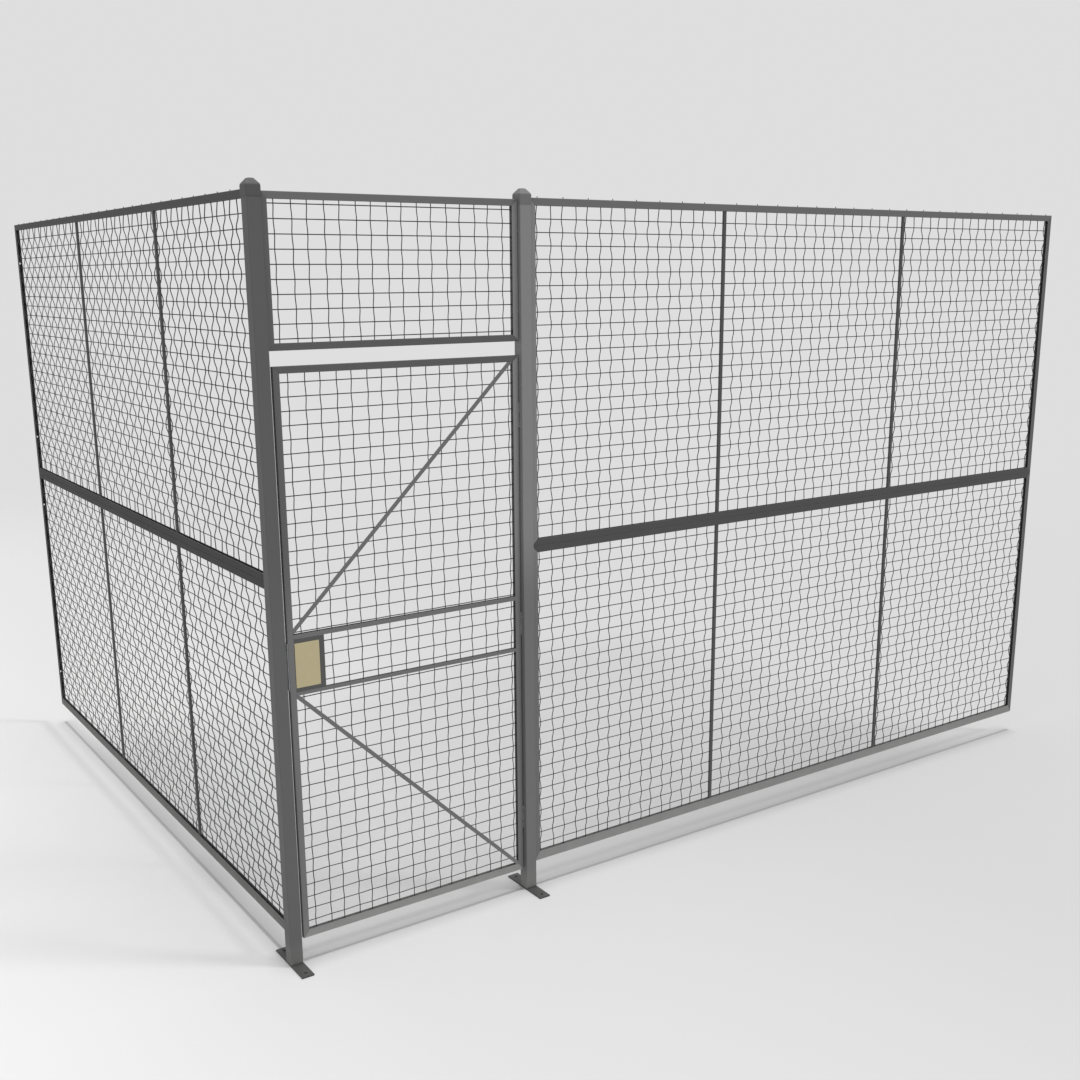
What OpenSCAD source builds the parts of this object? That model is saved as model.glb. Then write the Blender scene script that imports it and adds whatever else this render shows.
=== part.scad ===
// Corner partition of woven wire mesh with a door, for a store room.
// Two posts carry a door and a transom between them, and a wall two panels
// high runs from each post to a wall of the building.
// Millimetres. The origin is under the corner post, on the floor.
// +X runs along the door and the right wall, +Y along the left wall, +Z is up.

/* [Posts] */
// Side of the square post tube
post_w = 44.5; // [38:0.5:76]
// Wall of the post tube
post_wall = 2; // [1.5:0.1:4]
// Outer corner radius of the post tube
post_radius = 2.4; // [2.1:0.1:6]
// Distance between the centres of the two posts
post_spacing = 965.2; // [800:0.1:1300]
// Length of a foot plate, along Y
foot_len = 222; // [150:1:400]
// Thickness of a foot plate
foot_t = 6; // [4:0.5:12]
// Distance between the two anchor holes of a foot plate
anchor_spacing = 178; // [110:1:350]
// Radius of an anchor hole
anchor_r = 5.5; // [4:0.5:9]
// How far a post stands above the walls
post_above_wall = 8; // [2:1:40]
// Thickness of a post cap's skirt
cap_wall = 1.45; // [1:0.05:1.6]
// Height of a post cap's skirt
cap_skirt = 34; // [15:1:60]
// Height of a post cap's sloping shoulders
cap_rise = 18; // [5:1:40]
// Side of the flat top of a post cap
cap_flat = 18; // [8:1:30]

/* [Walls] */
// Height of the walls above the floor
wall_top = 2540; // [2000:1:3600]
// Gap under the walls for sweeping
wall_clear = 101.6; // [50:0.1:200]
// Height of the seam between the upper and the lower panels
seam_z = 1334; // [1100:1:1700]
// Length of the left wall, from its post
left_run = 2946; // [2400:1:4000]
// Length of the right wall, from its post
right_run = 2946; // [2400:1:4000]
// Centre of the left wall's first stiffening bar, from its post
left_bar_1 = 874; // [400:1:1000]
// Centre of the left wall's second stiffening bar, from its post
left_bar_2 = 1876; // [1400:1:2100]
// Centre of the right wall's first stiffening bar, from its post
right_bar_1 = 900; // [400:1:1000]
// Centre of the right wall's second stiffening bar, from its post
right_bar_2 = 1916; // [1400:1:2100]
// Width of a stiffening bar
bar_w = 12.7; // [8:0.1:20]
// Depth of a stiffening bar
bar_depth = 9.5; // [6:0.1:10]
// Radius of the holes for the building's fixings
fixing_r = 4.5; // [3:0.5:6]

/* [Frames] */
// Depth of the channels, across the mesh
frame_depth = 16; // [15.4:0.1:25]
// Thickness of the channels' steel
channel_wall = 1.9; // [1.2:0.1:1.9]
// Outer radius of the channels' rolled edges
channel_radius = 2; // [1.9:0.1:3]
// Width of the wall panels' channels
wall_face = 25.4; // [19:0.1:40]
// Width of the channel at the bottom of the walls
sill_face = 36; // [19:0.1:60]
// Width of the channels of the door and the transom
door_face = 22.2; // [19:0.1:40]
// Width of the channel at the bottom of the door
kick_face = 28; // [19:0.1:60]
// Gap at a welded joint
weld_gap = 0.1; // [0.05:0.05:0.2]

/* [Mesh] */
// Thickness of the mesh wire
wire = 3.4; // [2:0.1:3.6]
// Distance between upright wires
column_pitch = 54.1; // [40:0.1:80]
// Distance between level wires
row_pitch = 44.5; // [38:0.1:80]
// Distance from a wall's first stile to the first upright wire
wall_first = 10.6; // [4:0.1:40]
// Distance from the transom's first stile to the first upright wire
transom_first = 24; // [4:0.1:40]
// Distance from the door's first stile to the first upright wire
door_first = 31.5; // [4:0.1:40]
// Clearance between wires that cross, and at a wire's end
wire_gap = 0.1; // [0.05:0.05:0.2]
// How far a clinched wire end stands above a wall
clinch = 5; // [2:0.5:10]

/* [Door and transom] */
// How far the transom lies below the top of the walls
transom_drop = 6.5; // [0:0.5:60]
// Height of the transom
transom_h = 470; // [300:1:800]
// Gap between the transom and the door
header_gap = 47.5; // [5:0.5:80]
// Gap under the door
door_clear = 85.6; // [10:0.1:150]
// Gap beside the door on its lock side
latch_gap = 12; // [11:0.1:16]
// Gap beside the door on its hinge side
hinge_gap = 6; // [5.8:0.1:9]
// Height of the upper lock bar
upper_bar_h = 15; // [10:0.5:30]
// Height of the lower lock bar
lower_bar_h = 12; // [10:0.5:30]
// Thickness of the flat bars and braces that are welded into the door
strap_t = 2.3; // [1.5:0.1:2.3]
// Width of a brace
brace_w = 14; // [8:0.5:25]
// How far the upper brace runs above the line between its corners
brace_lift = 8; // [0:0.5:12]

/* [Lock] */
// Height of the latch bolt above the floor
lock_z = 1054; // [900:1:1200]
// Height of the space between the two lock bars
lock_space = 179.5; // [170:0.5:260]
// Width of the lock box
lock_box_w = 106; // [104:1:150]
// Width of the plates over the lock
plate_w = 86; // [84:1:100]
// Height of the plates over the lock
plate_h = 151; // [140:1:169]
// Thickness of the plates over the lock
plate_t = 1.5; // [1:0.1:3]
// Height of the lock case
case_h = 130; // [120:1:150]
// Thickness of the lock case's walls
case_wall = 1.4; // [1:0.1:1.4]
// Height of the latch bolt
bolt_h = 24; // [18:1:26]
// Thickness of the latch bolt
bolt_t = 8; // [6:0.5:8]
// Travel of the latch bolt
bolt_travel = 19; // [17:0.5:20]
// Turn of the inside knob that draws the bolt
turn_angle = 60; // [50:1:70]

/* [Hinges] */
// Number of hinges
hinge_count = 3; // [2:1:4]
// Height of a hinge
hinge_h = 89; // [75:1:120]
// Thickness of a hinge leaf
leaf_t = 2.5; // [2:0.1:2.5]
// Radius of a hinge pin
pin_r = 3; // [2:0.5:3.5]
// Outer radius of a hinge knuckle
knuckle_r = 5; // [4:0.5:8]
// Distance between the screws of a hinge leaf
screw_pitch = 30; // [25:1:34]

/* [Fasteners] */
// Radius of the bolts that hold the panels
bolt_r = 3.1; // [2.5:0.1:3.5]
// Width of a hexagon head or nut across its flats
hex_w = 10; // [9:0.5:11]
// Thickness of a hexagon head or nut
hex_t = 4; // [3:0.5:5]
// Thickness of the spacer between a panel and its post
spacer_t = 2; // [2:0.1:5]
// Radius of a countersunk screw
screw_r = 2.4; // [1.5:0.1:3]
// Radius of a countersunk screw's head
screw_head_r = 4.6; // [3.5:0.1:6]

/* [Hidden] */
$fn = 48;

// Clearances
hole_gap = 0.2;        // around a bolt or a screw
slide_gap = 0.3;       // around a sliding or loosely fitted piece
run_gap = 0.05;        // around a turning shaft
knuckle_gap = 0.3;     // between two knuckles of a hinge
knuckle_clear = 1.25;  // between the knuckles and the face of the post
past = 1;              // how far a cutter runs past a face

// Fasteners
bolt_reach = 8;        // of a panel bolt past the wall of its post
thread_end = 3;        // of a seam bolt past its nut
spacer_r = 7.1;
post_screw_len = 12;
strike_screw_len = 10;
strike_screw_inset = 10;
forend_screw_len = 11;
forend_screw_inset = 8;
cap_roof = 3;
pin_head = 2.5;

post_top = wall_top + post_above_wall;
post_face = post_w / 2;
slot_w = frame_depth - 2 * channel_wall;
wire_end = channel_wall + wire_gap;
lower_h = seam_z - wall_clear;
upper_h = wall_top - seam_z;
panel_start = post_face + spacer_t;
left_w = left_run - spacer_t;
right_w = right_run - spacer_t;
left_bars = [left_bar_1 - spacer_t, left_bar_2 - spacer_t];
right_bars = [right_bar_1 - spacer_t, right_bar_2 - spacer_t];

transom_w = post_spacing - 2 * panel_start;
transom_z = wall_top - transom_drop - transom_h;

door_x = post_face + latch_gap;
door_w = post_spacing - 2 * post_face - latch_gap - hinge_gap;
door_h = transom_z - header_gap - door_clear;
door_right = door_x + door_w;
hinge_face = post_spacing - post_face;
axis_x = door_right + hinge_gap / 2;
axis_y = post_face + knuckle_r + knuckle_clear;
knuckle_h = hinge_h / 5;
leaf_edge = axis_y - knuckle_r - 1;

inner_left = door_x + door_face;
inner_right = door_right - door_face;
lock_low = lock_z - lock_space / 2;
lock_high = lock_z + lock_space / 2;
lower_brace_z = [door_clear + kick_face, lock_low - lower_bar_h];
upper_brace_z = [lock_high + upper_bar_h, door_clear + door_h - door_face];
box_right = inner_left + weld_gap + lock_box_w;

// Upright wires keep their pitch over the whole panel. Where a bar stands in its way, a wire is left out.
function columns_in(w, face, first) = [for (x = [face + first : column_pitch : w - face - wire]) x];
function beside(x, bar) = abs(x - bar) > (bar_w + wire) / 2 + wire_gap;
function wall_columns(w, bars) =
    [for (x = columns_in(w, wall_face, wall_first)) if (beside(x, bars[0]) && beside(x, bars[1])) x];

// Level wires keep their pitch, and the lot is centred in its run
function rows_in(start, run, count) =
    [for (i = [0 : count - 1]) start + (run - (count - 1) * row_pitch) / 2 + i * row_pitch];
function wall_rows(h, bottom) =
    let (run = h - bottom - wall_face) rows_in(bottom, run, floor(run / row_pitch));
function door_rows_in(h, bottom) =
    let (run = h - bottom - door_face) rows_in(bottom, run, round(run / row_pitch));
function between(rows, i) = (rows[i - 1] + rows[i]) / 2;

// Near the middle of each bay between a panel's stiles and its bars, between two upright wires
function bay_middles(w, bars) =
    let (edges = [wall_face, bars[0], bars[1], w - wall_face], first = wall_face + wall_first)
        [for (i = [1 : 3]) let (middle = (edges[i - 1] + edges[i]) / 2)
            first + (floor((middle - first) / column_pitch) + 0.5) * column_pitch];

lower_rows = wall_rows(lower_h, sill_face);
upper_rows = wall_rows(upper_h, wall_face);
transom_rows = door_rows_in(transom_h, door_face);
door_rows = door_rows_in(door_h, kick_face);
left_columns = wall_columns(left_w, left_bars);
right_columns = wall_columns(right_w, right_bars);
transom_columns = columns_in(transom_w, door_face, transom_first);
door_columns = columns_in(door_w, door_face, door_first);

// The upright wires of the walls lie in turn behind and in front of the level ones
function column_side(i) = (i % 2 == 0 ? -1 : 1) * (wire + wire_gap);

// Those of the door and the transom are crimped, and pass each level wire in turn on the other side
crimp = (wire + wire_gap) / (1 - wire / row_pitch);
function pass_side(column, row) = (column + row) % 2 == 0 ? 1 : -1;

// Flat bars and braces lie in the planes of the flanges, or further out where the crimped wires need the room
strap_y = max((frame_depth - strap_t) / 2, crimp + wire / 2 + wire_gap + strap_t / 2);

// Heights of the panel bolts, each between two level wires
function fixing_rows(rows) =
    let (n = len(rows)) [between(rows, 3), between(rows, floor(n / 2)), between(rows, n - 3)];
lower_bolts = fixing_rows(lower_rows);
upper_bolts = fixing_rows(upper_rows);
transom_bolts = [between(transom_rows, 2), between(transom_rows, len(transom_rows) - 2)];
hinge_heights = [for (i = [0 : hinge_count - 1])
    let (row = round(4 + i * (len(door_rows) - 8) / (hinge_count - 1))) door_clear + between(door_rows, row)];
screw_heights = [for (z = hinge_heights) each [z - screw_pitch, z, z + screw_pitch]];

// Lock works, from the door's edge inwards
forend_t = 2.5;
forend_h = 160;
case_x = door_x + channel_wall + weld_gap;
case_w = 103;
case_y = slot_w / 2 - slide_gap;
crank = bolt_travel / 2 / sin(turn_angle / 2);
case_end = 2;
hub_inset = 62;
hub_drop = 17;
hub_x = case_x + hub_inset;
hub_z = lock_z - hub_drop;
bolt_grip = 8;
bolt_room = 1;
bolt_tip = post_face - bolt_grip;
head_len = 46;
tail_t = 2.5;
tail_past_pin = 9;
tail_y = -case_y + case_wall + 0.2;
crank_pin_r = 2.5;
crank_slot = [crank_pin_r + 0.4, 5.5, 6.5];
hub_r = 9;
boss_r = 7;
coil_t = 2.5;
stub_r = 4;
spindle_w = 8;
spindle_len = 18;
rose_r = 15;
rose_t = 5;
grip = [10, 17, 44];
socket = 15;
plate_inset = 1;
arm_y = tail_y + tail_t + 0.8;
arm_t = 3;
strike_t = 2;
strike_w = 28;
strike_h = 90;
forend_screw_heights = [for (side = [-1, 1]) lock_z + side * (forend_h / 2 - forend_screw_inset)];

// ---- Shapes that repeat ----

// A plate with an outline in the XZ plane, its thickness centred on Y = 0
module plate(points, depth) {
    rotate([90, 0, 0]) linear_extrude(height = depth, center = true) polygon(points);
}

// A cylinder from the origin along +X
module along_x(len, r) {
    rotate([0, 90, 0]) cylinder(h = len, r = r);
}

// A cylinder from the origin along +Y
module along_y(len, r) {
    rotate([-90, 0, 0]) cylinder(h = len, r = r);
}

// A block centred on X = 0 and Y = 0 that stands on Z = 0
module block(x, y, z) {
    translate([-x / 2, -y / 2, 0]) cube([x, y, z]);
}

// Hexagon with two flats facing +Y and -Y
module hexagon(h) {
    cylinder(h = h, r = hex_w / sqrt(3), $fn = 6);
}

// Square tube with round corners, standing on Z = 0
module tube(w, radius, h) {
    linear_extrude(height = h) {
        square([w, w - 2 * radius], center = true);
        square([w - 2 * radius, w], center = true);
        for (x = [-1, 1], y = [-1, 1]) translate([x, y] * (w / 2 - radius)) circle(r = radius);
    }
}

// Countersunk screw along +X, its head's flat on X = 0
module countersunk(len, gap = 0) {
    rotate([0, 90, 0]) {
        cylinder(h = screw_head_r - screw_r, r1 = screw_head_r + gap, r2 = screw_r + gap);
        cylinder(h = len, r = screw_r + gap);
    }
}

// ---- Frames of channel ----

// Section of a channel with rolled edges, open towards +X, its depth along Y
module channel(face) {
    edge = frame_depth / 2 - channel_radius;
    difference() {
        union() {
            translate([0, -edge]) square([face, 2 * edge]);
            translate([channel_radius, -frame_depth / 2]) square([face - channel_radius, frame_depth]);
            for (side = [-1, 1]) translate([channel_radius, side * edge]) circle(r = channel_radius);
        }
        translate([channel_wall, -slot_w / 2]) square([face, slot_w]);
    }
}

// One upright channel of a frame, open towards +X, its ends cut to the mitres
module stile(h, face, bottom, top) {
    intersection() {
        linear_extrude(height = h) channel(face);
        plate([[0, weld_gap], [face, bottom + weld_gap], [face, h - top - weld_gap], [0, h - weld_gap]],
            2 * frame_depth);
    }
}

// One level channel of a frame, open towards +Z, its ends cut to the mitres
module rail(w, face, height) {
    intersection() {
        mirror([1, 0, 0]) rotate([0, -90, 0]) linear_extrude(height = w) channel(height);
        plate([[0, 0], [w, 0], [w - face, height], [face, height]], 2 * frame_depth);
    }
}

// A frame of four channels, open towards its mesh. The children are cut out of it.
module panel_frame(w, h, face, bottom, top) {
    difference() {
        union() {
            stile(h, face, bottom, top);
            translate([w, 0, 0]) mirror([1, 0, 0]) stile(h, face, bottom, top);
            rail(w, face, bottom);
            translate([0, 0, h]) mirror([0, 0, 1]) rail(w, face, top);
        }
        children();
    }
}

// Holes through an upright web that starts at X = 0
module web_holes(heights, r) {
    for (z = heights) translate([-past, 0, z]) along_x(channel_wall + 2 * past, r);
}

// ---- Mesh ----

// An upright wire from Z = z0 to z1
module column_wire(z0, z1) {
    translate([0, 0, z0]) block(wire, wire, z1 - z0);
}

// A level wire from X = x0 to x1
module row_wire(x0, x1) {
    translate([x0, -wire / 2, -wire / 2]) cube([x1 - x0, wire, wire]);
}

// The mesh of a wall panel. Every second upright wire ends rise above the panel.
module wall_mesh(w, h, columns, rows, rise) {
    for (i = [0 : len(columns) - 1])
        translate([columns[i], column_side(i), 0])
            column_wire(wire_end, i % 2 == 0 && rise > 0 ? h + rise : h - wire_end);
    for (z = rows) translate([0, 0, z]) row_wire(wire_end, w - wire_end);
}

// A crimped upright wire from Z = z0 to z1, the i-th of its panel. Its ends come back to the middle.
module crimped_wire(i, z0, z1, rows) {
    passes = [for (j = [0 : len(rows) - 1]) if (rows[j] > z0 && rows[j] < z1)
        [pass_side(i, j) * crimp, rows[j]]];
    line = concat([[0, z0]], passes, [[0, z1]]);
    front = [for (p = line) p - [wire / 2, 0]];
    back = [for (k = [len(line) - 1 : -1 : 0]) line[k] + [wire / 2, 0]];
    rotate([90, 0, 90]) linear_extrude(height = wire, center = true) polygon(concat(front, back));
}

// Stiffening bars that stand in the frame's channels, with holes for the level wires
module panel_bars(h, bars, rows) {
    for (x = bars) difference() {
        translate([x, 0, wire_end]) block(bar_w, bar_depth, h - 2 * wire_end);
        for (z = rows) translate([x, 0, z - wire / 2 - wire_gap])
            block(bar_w + 2 * past, wire + 2 * wire_gap, wire + 2 * wire_gap);
    }
}

// ---- Places ----

module on_right_wall() {
    translate([post_spacing + panel_start, 0, 0]) children();
}

module on_left_wall() {
    translate([0, panel_start, 0]) rotate([0, 0, 90]) children();
}

module on_transom() {
    translate([panel_start, 0, transom_z]) children();
}

module on_door() {
    translate([door_x, 0, door_clear]) children();
}

// Runs its children at each bolt of one side of a post, with the panel at +X
module at_wall_bolts() {
    for (z = lower_bolts) translate([0, 0, wall_clear + z]) children();
    for (z = upper_bolts) translate([0, 0, seam_z + z]) children();
}

module at_transom_bolts(right) {
    translate([right ? transom_w : 0, 0, 0]) mirror([right ? 1 : 0, 0, 0])
        for (z = transom_bolts) translate([0, 0, z]) children();
}

module at_all_panel_bolts() {
    on_right_wall() at_wall_bolts() children();
    on_left_wall() at_wall_bolts() children();
    on_transom() {
        at_transom_bolts(false) children();
        at_transom_bolts(true) children();
    }
}

module at_seam_bolts() {
    on_right_wall() for (x = bay_middles(right_w, right_bars))
        translate([x, 0, seam_z]) children();
    on_left_wall() for (x = bay_middles(left_w, left_bars))
        translate([x, 0, seam_z]) children();
}

// ---- Posts ----

module post() {
    translate([0, 0, foot_t]) difference() {
        tube(post_w, post_radius, post_top - foot_t);
        translate([0, 0, -past])
            tube(post_w - 2 * post_wall, max(0.2, post_radius - post_wall), post_top - foot_t + 2 * past);
    }
}

// A hole for a panel bolt through one wall of a post
module post_bolt_hole() {
    translate([-spacer_t - post_wall - past, 0, 0]) along_x(post_wall + 2 * past, bolt_r + hole_gap);
}

module post_cap() {
    half = post_w / 2 + slide_gap + cap_wall;
    side = [[-half, 0], [half, 0], [half, cap_skirt], [cap_flat / 2, cap_skirt + cap_rise],
        [-cap_flat / 2, cap_skirt + cap_rise], [-half, cap_skirt]];
    inside = cap_skirt - cap_roof;
    translate([0, 0, post_top - inside]) difference() {
        intersection() {
            plate(side, 2 * half);
            rotate([0, 0, 90]) plate(side, 2 * half);
        }
        translate([0, 0, -past]) block(post_w + 2 * slide_gap, post_w + 2 * slide_gap, inside + past);
    }
}

module foot_plate() {
    difference() {
        block(post_w, foot_len, foot_t);
        for (y = [-1, 1]) translate([0, y * anchor_spacing / 2, -past])
            cylinder(h = foot_t + 2 * past, r = anchor_r);
    }
}

module corner_post() {
    color("dimgray") difference() {
        post();
        on_left_wall() at_wall_bolts() post_bolt_hole();
        on_transom() at_transom_bolts(false) post_bolt_hole();
        at_strike_screws() translate([-post_wall - past, 0, 0])
            along_x(post_wall + 2 * past, screw_r + hole_gap);
        translate([post_face - post_wall - past, -bolt_t / 2 - bolt_room, lock_z - bolt_h / 2 - bolt_room])
            cube([post_wall + 2 * past, bolt_t + 2 * bolt_room, bolt_h + 2 * bolt_room]);
    }
}

module hinge_post() {
    color("dimgray") difference() {
        translate([post_spacing, 0, 0]) post();
        on_right_wall() at_wall_bolts() post_bolt_hole();
        on_transom() at_transom_bolts(true) post_bolt_hole();
        for (z = screw_heights) translate([hinge_face - past, 0, z])
            along_x(post_wall + 2 * past, screw_r + hole_gap);
    }
}

module corner_post_cap() {
    color("gray") post_cap();
}

module hinge_post_cap() {
    color("gray") translate([post_spacing, 0, 0]) post_cap();
}

module corner_foot_plate() {
    color("dimgray") foot_plate();
}

module hinge_foot_plate() {
    color("dimgray") translate([post_spacing, 0, 0]) foot_plate();
}

// ---- Wall panels ----

module lower_frame(w, bars) {
    color("gray") translate([0, 0, wall_clear])
        panel_frame(w, lower_h, wall_face, sill_face, wall_face) {
            web_holes(lower_bolts, bolt_r + hole_gap);
            far_fixings(w, lower_bolts);
            for (x = bay_middles(w, bars)) translate([x, 0, lower_h - channel_wall - past])
                cylinder(h = channel_wall + 2 * past, r = bolt_r + hole_gap);
        }
}

module upper_frame(w, bars, columns) {
    hole = wire + 2 * wire_gap;
    color("gray") translate([0, 0, seam_z])
        panel_frame(w, upper_h, wall_face, wall_face, wall_face) {
            web_holes(upper_bolts, bolt_r + hole_gap);
            far_fixings(w, upper_bolts);
            for (x = bay_middles(w, bars)) translate([x, 0, -past])
                cylinder(h = channel_wall + 2 * past, r = bolt_r + hole_gap);
            for (i = [0 : 2 : len(columns) - 1])
                translate([columns[i], column_side(i), upper_h - channel_wall - past])
                    block(hole, hole, channel_wall + 2 * past);
        }
}

// Holes in a panel's far stile for fixing it to the building
module far_fixings(w, heights) {
    translate([w - channel_wall, 0, 0]) web_holes([heights[0], heights[2]], fixing_r);
}

module left_lower_frame() {
    on_left_wall() lower_frame(left_w, left_bars);
}

module left_upper_frame() {
    on_left_wall() upper_frame(left_w, left_bars, left_columns);
}

module right_lower_frame() {
    on_right_wall() lower_frame(right_w, right_bars);
}

module right_upper_frame() {
    on_right_wall() upper_frame(right_w, right_bars, right_columns);
}

module left_lower_mesh() {
    color("darkgray") on_left_wall() translate([0, 0, wall_clear])
        wall_mesh(left_w, lower_h, left_columns, lower_rows, 0);
}

module left_upper_mesh() {
    color("darkgray") on_left_wall() translate([0, 0, seam_z])
        wall_mesh(left_w, upper_h, left_columns, upper_rows, clinch);
}

module right_lower_mesh() {
    color("darkgray") on_right_wall() translate([0, 0, wall_clear])
        wall_mesh(right_w, lower_h, right_columns, lower_rows, 0);
}

module right_upper_mesh() {
    color("darkgray") on_right_wall() translate([0, 0, seam_z])
        wall_mesh(right_w, upper_h, right_columns, upper_rows, clinch);
}

module left_lower_bars() {
    color("gray") on_left_wall() translate([0, 0, wall_clear]) panel_bars(lower_h, left_bars, lower_rows);
}

module left_upper_bars() {
    color("gray") on_left_wall() translate([0, 0, seam_z]) panel_bars(upper_h, left_bars, upper_rows);
}

module right_lower_bars() {
    color("gray") on_right_wall() translate([0, 0, wall_clear]) panel_bars(lower_h, right_bars, lower_rows);
}

module right_upper_bars() {
    color("gray") on_right_wall() translate([0, 0, seam_z]) panel_bars(upper_h, right_bars, upper_rows);
}

// ---- Transom ----

module transom_frame() {
    color("gray") on_transom() panel_frame(transom_w, transom_h, door_face, door_face, door_face) {
        web_holes(transom_bolts, bolt_r + hole_gap);
        translate([transom_w - channel_wall, 0, 0]) web_holes(transom_bolts, bolt_r + hole_gap);
    }
}

module transom_mesh() {
    color("darkgray") on_transom() {
        for (i = [0 : len(transom_columns) - 1]) translate([transom_columns[i], 0, 0])
            crimped_wire(i, wire_end, transom_h - wire_end, transom_rows);
        for (z = transom_rows) translate([0, 0, z]) row_wire(wire_end, transom_w - wire_end);
    }
}

// ---- Fasteners of the panels ----

module panel_bolts() {
    color("silver") at_all_panel_bolts() {
        translate([channel_wall, 0, 0]) rotate([0, 90, 0]) hexagon(hex_t);
        translate([-spacer_t - post_wall - bolt_reach, 0, 0])
            along_x(channel_wall + spacer_t + post_wall + bolt_reach, bolt_r);
    }
}

module panel_spacers() {
    color("silver") at_all_panel_bolts() difference() {
        translate([-spacer_t, 0, 0]) along_x(spacer_t, spacer_r);
        translate([-spacer_t - past, 0, 0]) along_x(spacer_t + 2 * past, bolt_r + hole_gap);
    }
}

module seam_bolts() {
    color("silver") at_seam_bolts() {
        translate([0, 0, channel_wall]) hexagon(hex_t);
        translate([0, 0, -channel_wall - hex_t - thread_end])
            cylinder(h = 2 * channel_wall + hex_t + thread_end, r = bolt_r);
    }
}

module seam_nuts() {
    color("silver") at_seam_bolts() translate([0, 0, -channel_wall - hex_t]) difference() {
        hexagon(hex_t);
        translate([0, 0, -past]) cylinder(h = hex_t + 2 * past, r = bolt_r + wire_gap);
    }
}

// ---- Hinges ----

// Knuckles from the bottom of a hinge, with the arms that join them to a leaf on the +X side
module knuckles(numbers) {
    for (n = numbers) translate([0, 0, n * knuckle_h + knuckle_gap / 2]) {
        cylinder(h = knuckle_h - knuckle_gap, r = knuckle_r);
        translate([hinge_gap / 2 - leaf_t, leaf_edge - axis_y, 0])
            cube([leaf_t, axis_y - leaf_edge, knuckle_h - knuckle_gap]);
    }
}

// One hinge leaf on the +X side of the axis
module leaf(numbers) {
    difference() {
        union() {
            knuckles(numbers);
            translate([hinge_gap / 2 - leaf_t, -frame_depth / 2 - axis_y, 0])
                cube([leaf_t, frame_depth / 2 + leaf_edge, hinge_h]);
        }
        translate([0, 0, -past]) cylinder(h = hinge_h + 2 * past, r = pin_r + run_gap);
        for (i = [-1 : 1]) translate([hinge_gap / 2 - leaf_t, -axis_y, hinge_h / 2 + i * screw_pitch])
            countersunk(leaf_t + past, wire_gap);
    }
}

module at_hinges() {
    for (z = hinge_heights) translate([axis_x, axis_y, z - hinge_h / 2]) children();
}

module post_hinge_leaves() {
    color("dimgray") at_hinges() leaf([0, 2, 4]);
}

module door_hinge_leaves() {
    color("dimgray") at_hinges() mirror([1, 0, 0]) leaf([1, 3]);
}

module hinge_pins() {
    color("silver") at_hinges() {
        cylinder(h = hinge_h, r = pin_r);
        translate([0, 0, hinge_h]) cylinder(h = pin_head, r = knuckle_r);
    }
}

module post_hinge_screws() {
    color("silver") for (z = screw_heights)
        translate([hinge_face - leaf_t, 0, z]) countersunk(post_screw_len);
}

// They end flush with the inside of the web, clear of the level wires
module door_hinge_screws() {
    color("silver") for (z = screw_heights)
        translate([door_right + leaf_t, 0, z]) mirror([1, 0, 0]) countersunk(leaf_t + channel_wall);
}

// ---- Strike on the corner post ----

module at_strike_screws() {
    for (side = [-1, 1]) translate([post_face, 0, lock_z + side * (strike_h / 2 - strike_screw_inset)])
        children();
}

module strike_plate() {
    color("silver") difference() {
        translate([post_face, -strike_w / 2, lock_z - strike_h / 2]) cube([strike_t, strike_w, strike_h]);
        translate([post_face - past, -bolt_t / 2 - slide_gap, lock_z - bolt_h / 2 - slide_gap])
            cube([strike_t + 2 * past, bolt_t + 2 * slide_gap, bolt_h + 2 * slide_gap]);
        at_strike_screws() translate([strike_t, 0, 0]) mirror([1, 0, 0])
            countersunk(strike_t + past, wire_gap);
    }
}

module strike_screws() {
    color("silver") at_strike_screws()
        translate([strike_t, 0, 0]) mirror([1, 0, 0]) countersunk(strike_screw_len);
}

// ---- Door ----

module door_frame() {
    color("gray") on_door() panel_frame(door_w, door_h, door_face, kick_face, door_face) {
        translate([-past, -bolt_t / 2 - slide_gap, lock_z - door_clear - bolt_h / 2 - slide_gap])
            cube([channel_wall + 2 * past, bolt_t + 2 * slide_gap, bolt_h + 2 * slide_gap]);
        web_holes([for (z = forend_screw_heights) z - door_clear], screw_r + hole_gap);
        translate([door_w - channel_wall, 0, 0])
            web_holes([for (z = screw_heights) z - door_clear], screw_r + hole_gap);
    }
}

// The door's mesh stops at the lock box
module door_mesh() {
    zone = [lock_low - door_clear, lock_high - door_clear];
    zone_x = box_right - door_x;
    top = door_h - wire_end;
    color("darkgray") on_door() {
        for (i = [0 : len(door_columns) - 1]) translate([door_columns[i], 0, 0]) {
            if (door_columns[i] < zone_x + wire) {
                crimped_wire(i, wire_end, zone[0] - wire_gap, door_rows);
                crimped_wire(i, zone[1] + wire_gap, top, door_rows);
            } else {
                crimped_wire(i, wire_end, top, door_rows);
            }
        }
        for (z = door_rows) {
            beside_box = z > zone[0] - wire && z < zone[1] + wire;
            translate([0, 0, z]) row_wire(beside_box ? zone_x + wire_gap : wire_end, door_w - wire_end);
        }
    }
}

// Flat bars across the door, one in the plane of each flange
module lock_bar(z, h) {
    for (side = [-1, 1]) translate([(inner_left + inner_right) / 2, side * strap_y, z])
        block(inner_right - inner_left - 2 * weld_gap, strap_t, h);
}

module upper_lock_bar() {
    color("gray") lock_bar(lock_high, upper_bar_h);
}

module lower_lock_bar() {
    color("gray") lock_bar(lock_low - lower_bar_h, lower_bar_h);
}

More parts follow.
